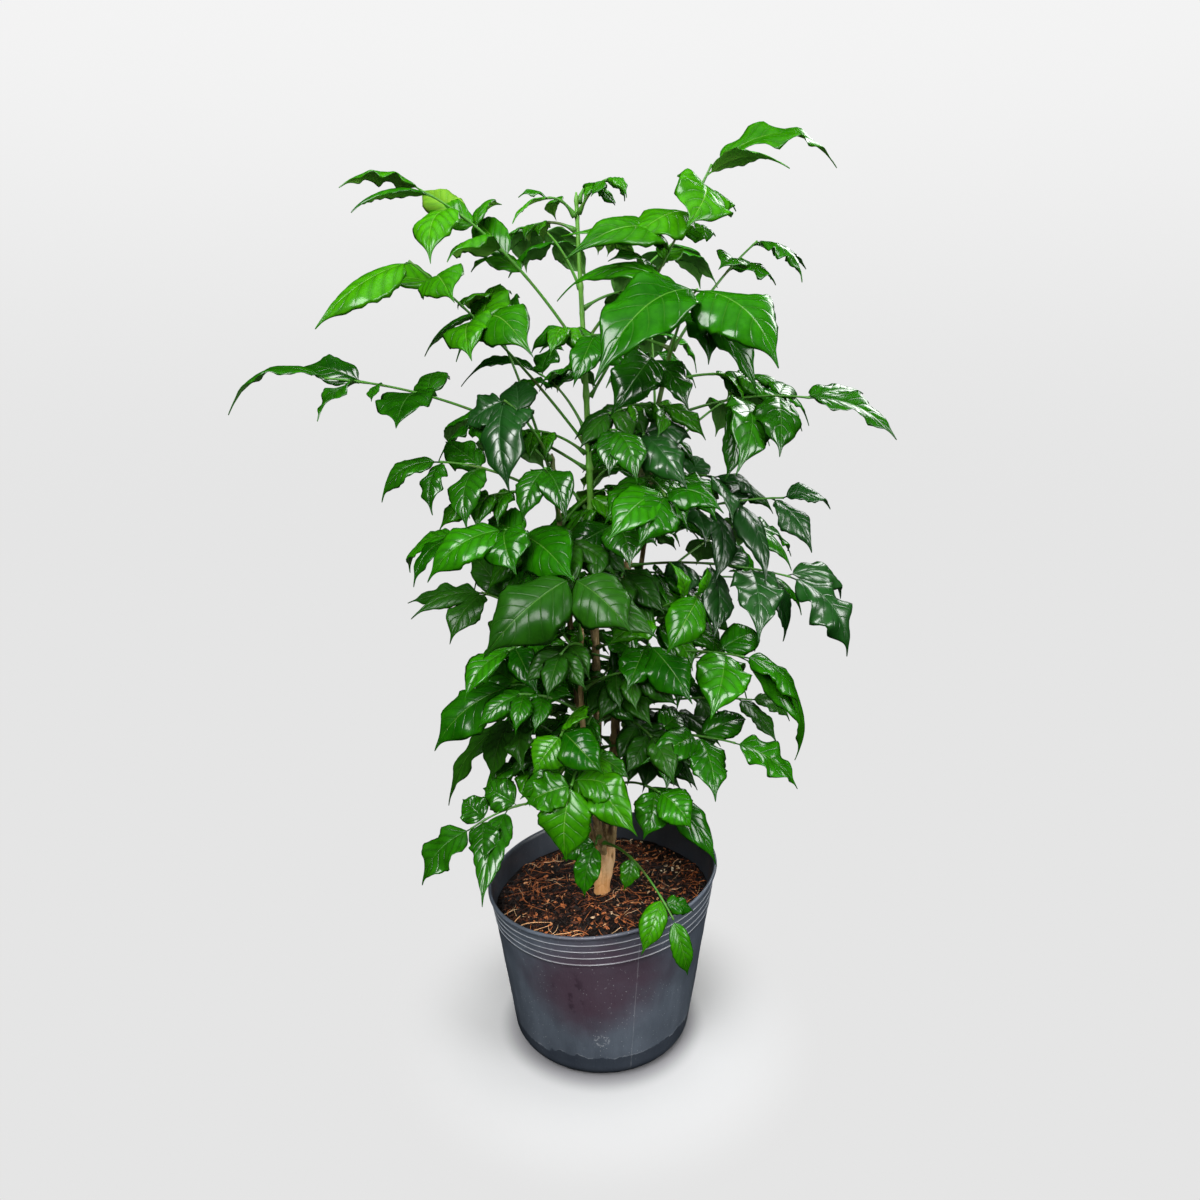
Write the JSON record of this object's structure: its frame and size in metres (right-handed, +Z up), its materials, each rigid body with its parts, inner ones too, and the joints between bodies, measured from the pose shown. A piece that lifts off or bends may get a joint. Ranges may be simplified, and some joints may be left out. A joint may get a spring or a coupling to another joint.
{
  "type": "potted china doll plant",
  "caption": "Leafy china doll house plant with woody stems and glossy divided leaves, growing in a soft black nursery pot of soil.",
  "frame": {"origin": "centre of the pot's flat underside, on the surface it stands on", "axes": "+Z up, -Y towards the front of the plant, +X to its right seen from the front"},
  "size_m": [0.487, 0.3825, 0.7472],
  "materials": {
    "black_polythene": "satin",
    "potting_soil": "matte",
    "bark": "matte",
    "bark_to_green_stem": "matte",
    "leaf_green": "gloss"
  },
  "bodies": {
    "root": {"pot": "black_polythene", "soil": "potting_soil", "trunk": "bark", "stem_tall": "bark_to_green_stem", "stem_right": "bark_to_green_stem", "stem_left": "bark_to_green_stem", "stem_back": "bark_to_green_stem", "stem_front": "bark_to_green_stem", "leaf_top_left": "leaf_green", "leaf_upper_left": "leaf_green", "leaf_left_small": "leaf_green", "leaf_tip_left": "leaf_green", "leaf_tip_right": "leaf_green", "leaf_top_right": "leaf_green", "leaf_right_upper": "leaf_green", "leaf_right_big": "leaf_green", "leaf_left_long": "leaf_green", "leaf_left_mid": "leaf_green", "leaf_left_arch": "leaf_green", "leaf_left_gloss": "leaf_green", "leaf_left_inner": "leaf_green", "leaf_mid_left": "leaf_green", "leaf_mid_front": "leaf_green", "leaf_left_lower": "leaf_green", "leaf_low_left_big": "leaf_green", "leaf_low_left_olive": "leaf_green", "leaf_base_left": "leaf_green", "leaf_front_low": "leaf_green", "leaf_front_mid": "leaf_green", "leaf_low_right_small": "leaf_green", "leaf_right_low": "leaf_green", "leaf_right_low_back": "leaf_green", "leaf_right_lower": "leaf_green", "leaf_centre_low": "leaf_green", "leaf_young_bright": "leaf_green", "leaf_right_glossy": "leaf_green", "leaf_right_mid": "leaf_green", "leaf_centre_mid": "leaf_green", "leaf_centre_dark": "leaf_green", "leaf_centre_upper": "leaf_green", "leaf_centre_inner": "leaf_green", "leaf_centre_right": "leaf_green", "leaf_centre_top": "leaf_green", "leaf_centre_light": "leaf_green", "leaf_right_long": "leaf_green", "leaf_base_front": "leaf_green", "leaf_trailing": "leaf_green", "leaf_back_low_left": "leaf_green", "leaf_back_low_right": "leaf_green", "leaf_back_low_middle": "leaf_green", "leaf_back_left": "leaf_green", "leaf_back_right": "leaf_green", "leaf_back_middle": "leaf_green", "leaf_back_upper_left": "leaf_green", "leaf_back_upper_right": "leaf_green", "leaf_back_high": "leaf_green", "leaf_back_top_left": "leaf_green", "leaf_back_top_right": "leaf_green", "leaf_side_left": "leaf_green", "leaf_side_right": "leaf_green"}
  },
  "joints": []
}
